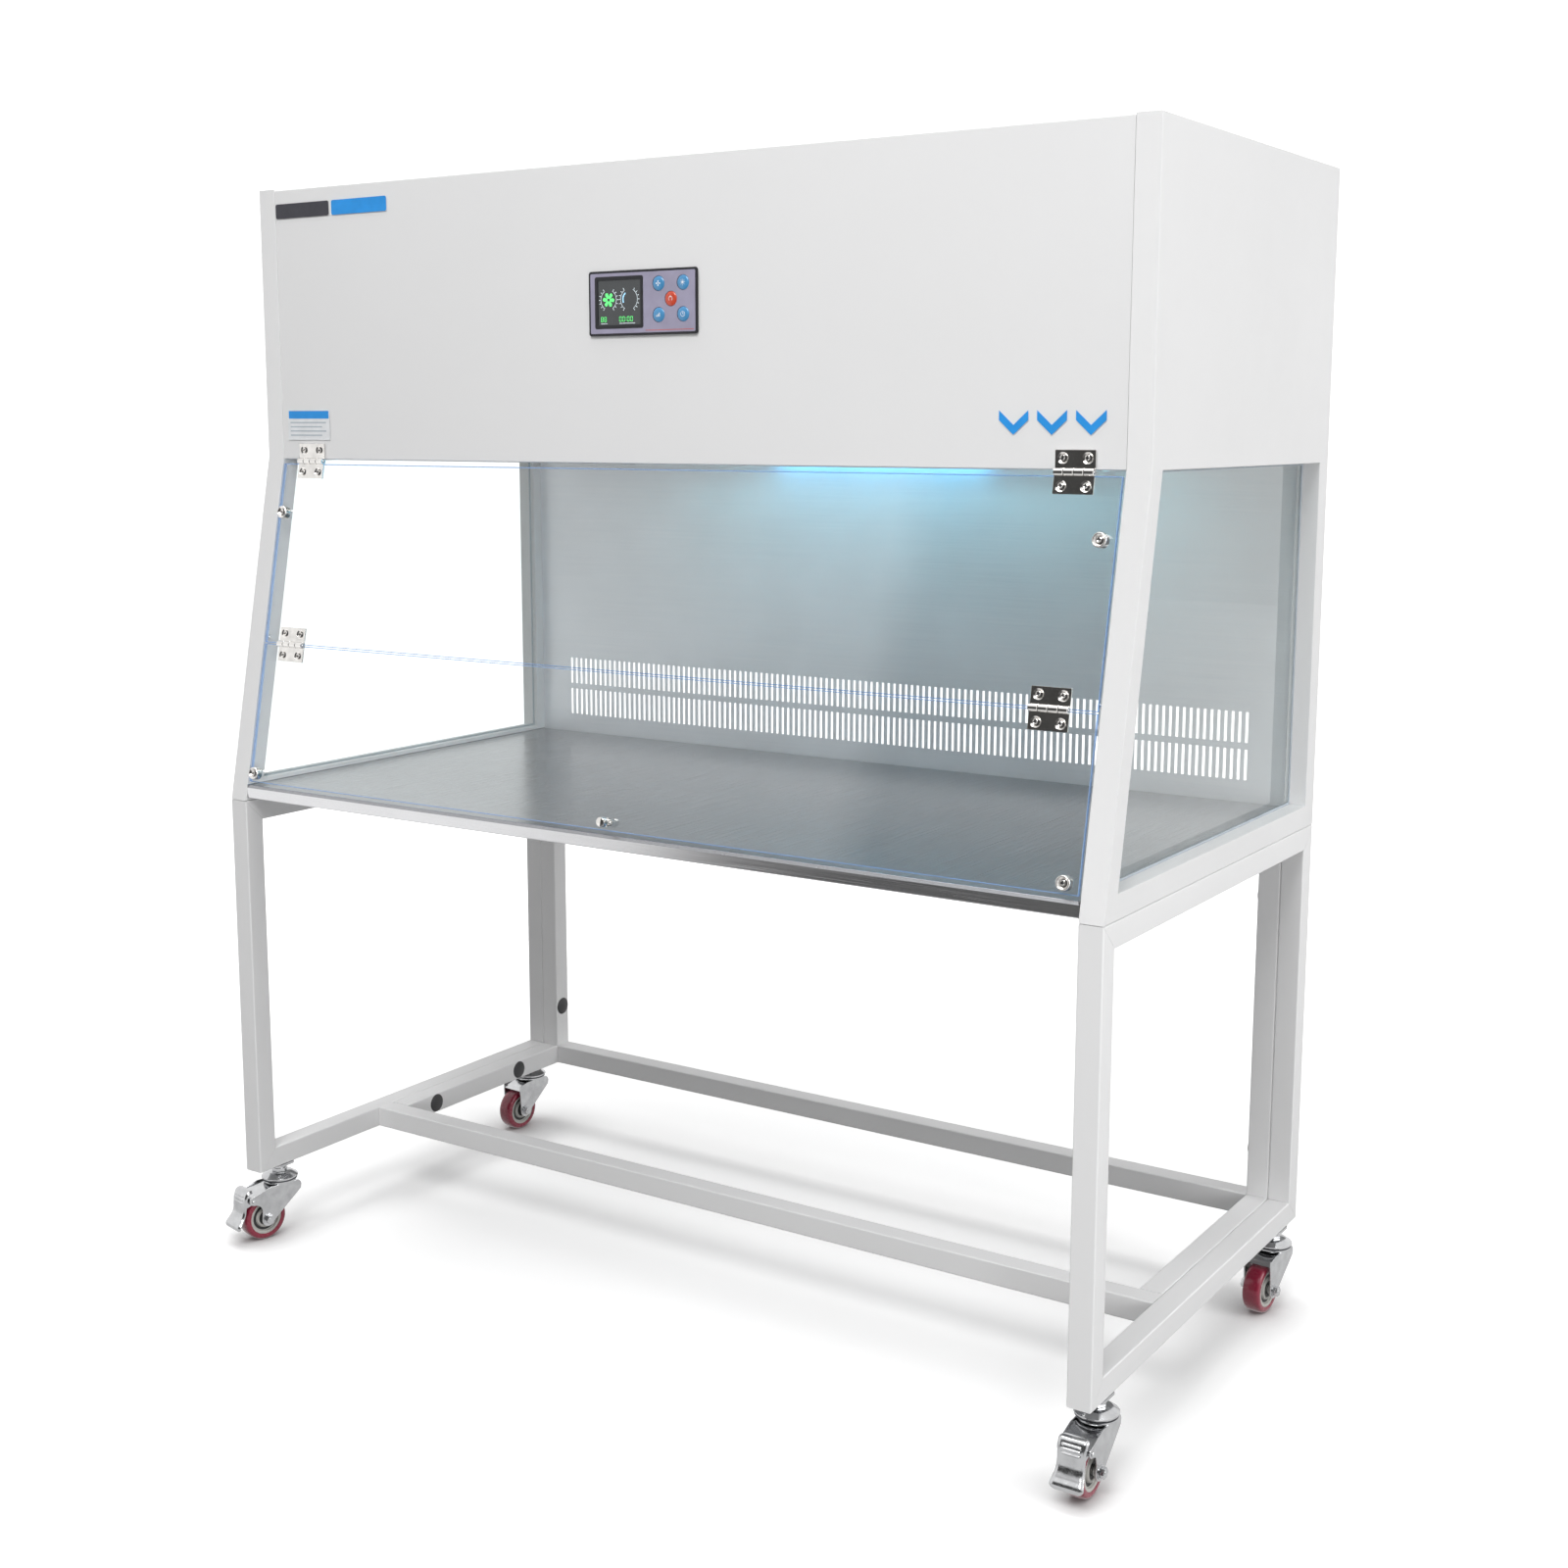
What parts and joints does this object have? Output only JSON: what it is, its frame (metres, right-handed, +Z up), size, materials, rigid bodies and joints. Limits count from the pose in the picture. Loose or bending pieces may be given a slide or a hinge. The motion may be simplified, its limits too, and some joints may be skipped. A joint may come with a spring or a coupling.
{
  "type": "laminar flow clean bench",
  "caption": "Wide bench cabinet with a slanted folding clear sash, slotted steel rear wall and filtered air box, on an open caster stand.",
  "frame": {"origin": "on the floor under the middle of the footprint, front brake pedals included", "axes": "+Z up, +X to the right of a person at the front, +Y from the front to the rear"},
  "size_m": [1.5383, 0.789, 1.685],
  "materials": {
    "stand_paint": "light grey-white powder coat, satin",
    "cabinet_paint": "off-white powder coat, satin",
    "side_glass": "clear, faint grey-green",
    "stainless": "fine brushed",
    "galvanised": "dull galvanised",
    "acrylic": "clear acrylic with pale blue edges",
    "filter_media": "pleated filter paper",
    "lamp_glass": "tube lamp",
    "black_plastic": "semi-gloss",
    "panel_grey": "lavender-grey membrane face with a black border",
    "button_blue": "domed membrane key",
    "button_red": "domed membrane key",
    "nickel": "polished nickel plate",
    "zinc_plate": "bright zinc plate",
    "hub_grey": "moulded wheel core",
    "maroon_tread": "polyurethane tread"
  },
  "bodies": {
    "root": {"stand_side_frame_left": "stand_paint", "stand_side_frame_right": "stand_paint", "stand_rear_frame": "stand_paint", "stand_low_frame": "stand_paint", "cabinet_side_left": "cabinet_paint", "cabinet_side_right": "cabinet_paint", "side_glass_left": "side_glass", "side_glass_right": "side_glass", "front_cover": "cabinet_paint", "top_cover": "cabinet_paint", "rear_cover": "cabinet_paint", "rear_wall": "stainless", "worktop": "stainless", "power_inlet": "black_plastic", "diffuser_ceiling": "cabinet_paint", "hepa_filter": "filter_media", "blower_housing": "galvanised", "prefilter": "filter_media", "uv_lamp": "lamp_glass", "control_bezel": "panel_grey", "display_window": "black_plastic", "top_hinge_left_cover_leaf": "nickel", "top_hinge_right_cover_leaf": "nickel", "caster_front_left_stem": "zinc_plate", "caster_front_right_stem": "zinc_plate", "caster_rear_left_stem": "zinc_plate", "caster_rear_right_stem": "zinc_plate"},
    "sash_upper": {"sash_upper_panel": "acrylic", "top_hinge_left_sash_leaf": "nickel", "top_hinge_right_sash_leaf": "nickel", "fold_hinge_left_upper_leaf": "nickel", "fold_hinge_right_upper_leaf": "nickel", "magnet_upper_left": "nickel", "magnet_upper_right": "nickel"},
    "sash_lower": {"sash_lower_panel": "acrylic", "fold_hinge_left_lower_leaf": "nickel", "fold_hinge_right_lower_leaf": "nickel", "magnet_lower_left": "nickel", "magnet_lower_right": "nickel", "sash_knob": "nickel"},
    "button_fan": {"button_fan": "button_blue"},
    "button_lamp": {"button_lamp": "button_blue"},
    "button_power": {"button_power": "button_red"},
    "button_speed": {"button_speed": "button_blue"},
    "button_timer": {"button_timer": "button_blue"},
    "blower_impeller": {"blower_impeller": "black_plastic"},
    "caster_front_left_swivel": {"caster_front_left_fork": "zinc_plate"},
    "caster_front_left_wheel": {"caster_front_left_hub": "hub_grey", "caster_front_left_tread": "maroon_tread"},
    "caster_front_left_brake": {"caster_front_left_brake_pedal": "zinc_plate"},
    "caster_front_right_swivel": {"caster_front_right_fork": "zinc_plate"},
    "caster_front_right_wheel": {"caster_front_right_hub": "hub_grey", "caster_front_right_tread": "maroon_tread"},
    "caster_front_right_brake": {"caster_front_right_brake_pedal": "zinc_plate"},
    "caster_rear_left_swivel": {"caster_rear_left_fork": "zinc_plate"},
    "caster_rear_left_wheel": {"caster_rear_left_hub": "hub_grey", "caster_rear_left_tread": "maroon_tread"},
    "caster_rear_right_swivel": {"caster_rear_right_fork": "zinc_plate"},
    "caster_rear_right_wheel": {"caster_rear_right_hub": "hub_grey", "caster_rear_right_tread": "maroon_tread"}
  },
  "joints": [
    {"name": "sash_open", "type": "hinge", "parent": "root", "child": "sash_upper", "pos_m": [0, -0.2548, 1.2685], "axis": [-1, 0, 0], "range_deg": [0, 140]},
    {"name": "sash_fold", "type": "hinge", "parent": "sash_upper", "child": "sash_lower", "pos_m": [0, -0.31197, 0.98558], "axis": [-1, 0, 0], "range_deg": [0, 175]},
    {"name": "press_fan", "type": "slide", "parent": "root", "child": "button_fan", "axis": [0, 1, 0], "range_m": [0, 0.0008], "stiffness_N_per_m": 400},
    {"name": "press_lamp", "type": "slide", "parent": "root", "child": "button_lamp", "axis": [0, 1, 0], "range_m": [0, 0.0008], "stiffness_N_per_m": 400},
    {"name": "press_power", "type": "slide", "parent": "root", "child": "button_power", "axis": [0, 1, 0], "range_m": [0, 0.0008], "stiffness_N_per_m": 400},
    {"name": "press_speed", "type": "slide", "parent": "root", "child": "button_speed", "axis": [0, 1, 0], "range_m": [0, 0.0008], "stiffness_N_per_m": 400},
    {"name": "press_timer", "type": "slide", "parent": "root", "child": "button_timer", "axis": [0, 1, 0], "range_m": [0, 0.0008], "stiffness_N_per_m": 400},
    {"name": "blower_spin", "type": "hinge", "parent": "root", "child": "blower_impeller", "pos_m": [0, 0.0735, 1.42], "axis": [0, 0, 1], "continuous": true},
    {"name": "front_left_swivel", "type": "hinge", "parent": "root", "child": "caster_front_left_swivel", "pos_m": [-0.733, -0.301, 0.093], "axis": [0, 0, 1], "continuous": true},
    {"name": "front_left_roll", "type": "hinge", "parent": "caster_front_left_swivel", "child": "caster_front_left_wheel", "pos_m": [-0.74084, -0.33521, 0.0372], "axis": [0.9748, -0.2233, 0], "continuous": true},
    {"name": "front_left_brake", "type": "hinge", "parent": "caster_front_left_swivel", "child": "caster_front_left_brake", "pos_m": [-0.74662, -0.36046, 0.072], "axis": [0.9748, -0.2233, 0], "range_deg": [0, 12]},
    {"name": "front_right_swivel", "type": "hinge", "parent": "root", "child": "caster_front_right_swivel", "pos_m": [0.733, -0.301, 0.093], "axis": [0, 0, 1], "continuous": true},
    {"name": "front_right_roll", "type": "hinge", "parent": "caster_front_right_swivel", "child": "caster_front_right_wheel", "pos_m": [0.73325, -0.3361, 0.0372], "axis": [1, 0.007, 0], "continuous": true},
    {"name": "front_right_brake", "type": "hinge", "parent": "caster_front_right_swivel", "child": "caster_front_right_brake", "pos_m": [0.73343, -0.362, 0.072], "axis": [1, 0.007, 0], "range_deg": [0, 12]},
    {"name": "rear_left_swivel", "type": "hinge", "parent": "root", "child": "caster_rear_left_swivel", "pos_m": [-0.733, 0.338, 0.093], "axis": [0, 0, 1], "continuous": true},
    {"name": "rear_left_roll", "type": "hinge", "parent": "caster_rear_left_swivel", "child": "caster_rear_left_wheel", "pos_m": [-0.73563, 0.303, 0.0372], "axis": [0.9972, -0.075, 0], "continuous": true},
    {"name": "rear_right_swivel", "type": "hinge", "parent": "root", "child": "caster_rear_right_swivel", "pos_m": [0.733, 0.338, 0.093], "axis": [0, 0, 1], "continuous": true},
    {"name": "rear_right_roll", "type": "hinge", "parent": "caster_rear_right_swivel", "child": "caster_rear_right_wheel", "pos_m": [0.7297, 0.30306, 0.0372], "axis": [0.9956, -0.0941, 0], "continuous": true}
  ]
}
